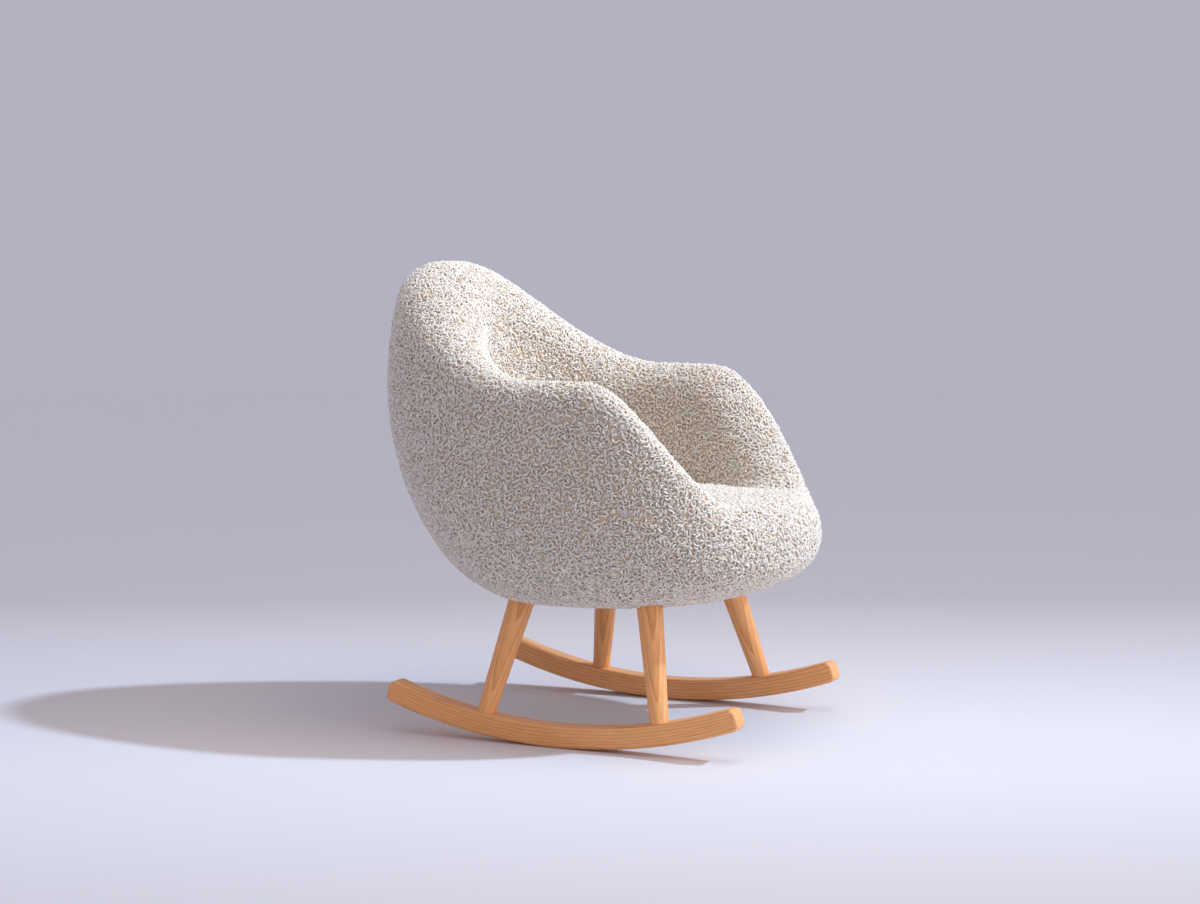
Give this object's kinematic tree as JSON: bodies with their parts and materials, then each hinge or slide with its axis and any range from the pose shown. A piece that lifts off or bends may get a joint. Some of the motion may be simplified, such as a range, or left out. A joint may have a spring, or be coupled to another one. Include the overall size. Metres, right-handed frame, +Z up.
{
  "type": "upholstered rocking chair",
  "caption": "Tub-shaped rocking chair with one continuous boucle-covered shell, splayed turned wooden legs and bent wooden rockers.",
  "frame": {"origin": "on the floor, midway between the two lines where the rockers touch it", "axes": "+Z up, the sitter faces -Y, +X is the sitter's left"},
  "size_m": [0.676, 0.7743, 0.8199],
  "materials": {
    "wood": "satin",
    "plywood": "matte",
    "moulded_fibre": "matte",
    "steel": "satin",
    "webbing": "matte",
    "foam": "matte",
    "boucle": "matte",
    "dust_cloth": "matte"
  },
  "bodies": {
    "root": {"rocker_left": "wood", "rocker_right": "wood", "leg_front_left": "wood", "leg_front_right": "wood", "leg_rear_left": "wood", "leg_rear_right": "wood", "rocker_plugs": "wood", "rocker_screws": "steel", "leg_inserts": "steel", "leg_bolts": "steel", "leg_washers": "steel", "shell_screws": "steel", "webbing_staples": "steel", "seat_frame": "plywood", "spacer_blocks": "plywood", "tub_shell": "moulded_fibre", "webbing_long_1": "webbing", "webbing_long_2": "webbing", "webbing_long_3": "webbing", "webbing_cross_1": "webbing", "webbing_cross_2": "webbing", "webbing_cross_3": "webbing", "outer_foam": "foam", "inner_foam": "foam", "seat_foam": "foam", "outside_cover": "boucle", "inside_cover": "boucle", "seat_cover": "boucle", "dust_cover": "dust_cloth"}
  },
  "joints": []
}
